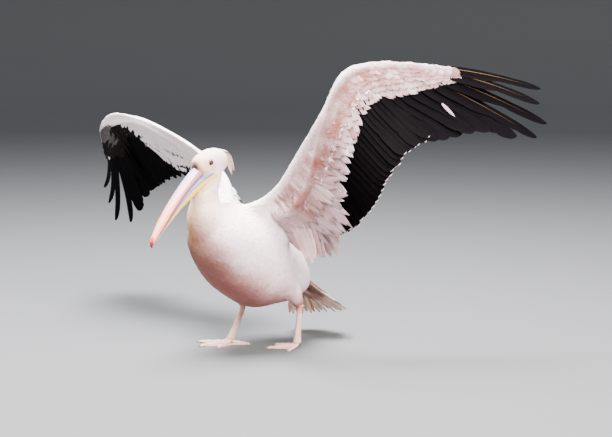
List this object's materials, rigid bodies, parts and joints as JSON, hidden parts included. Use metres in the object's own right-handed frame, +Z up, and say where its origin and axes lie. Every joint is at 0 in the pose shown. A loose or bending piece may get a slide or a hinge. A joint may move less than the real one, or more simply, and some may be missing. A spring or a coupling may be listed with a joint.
{
  "type": "great white pelican model",
  "caption": "Life-size still model of a great white pelican standing on webbed feet with both wings raised and bill pointing down",
  "frame": {"origin": "on the floor under the middle of the overall box", "axes": "+X the bird's left, -Y the way the bird faces, +Z up"},
  "size_m": [1.9284, 0.8105, 0.9107],
  "materials": {
    "white_plumage": "matte",
    "neck_plumage": "matte",
    "black_flight_feathers": "satin",
    "tail_feathers": "matte",
    "bill_horn": "satin",
    "bill_nail_horn": "satin",
    "pouch_skin": "satin",
    "leg_skin": "satin",
    "eyeball": "gloss"
  },
  "bodies": {
    "root": {"trunk": "white_plumage", "neck_lower": "neck_plumage", "neck_upper": "neck_plumage", "head": "white_plumage", "crest": "white_plumage", "eye_left": "eyeball", "eye_right": "eyeball", "bill_upper": "bill_horn", "bill_nail": "bill_nail_horn", "bill_lower": "bill_horn", "pouch": "pouch_skin", "tail": "tail_feathers", "thigh_left": "white_plumage", "shank_left": "leg_skin", "foot_left": "leg_skin", "upper_arm_left": "white_plumage", "forearm_left": "white_plumage", "hand_left": "white_plumage", "tertials_left": "white_plumage", "secondaries_left": "black_flight_feathers", "primaries_left": "black_flight_feathers", "thigh_right": "white_plumage", "shank_right": "leg_skin", "foot_right": "leg_skin", "upper_arm_right": "white_plumage", "forearm_right": "white_plumage", "hand_right": "white_plumage", "tertials_right": "white_plumage", "secondaries_right": "black_flight_feathers", "primaries_right": "black_flight_feathers"}
  },
  "joints": []
}
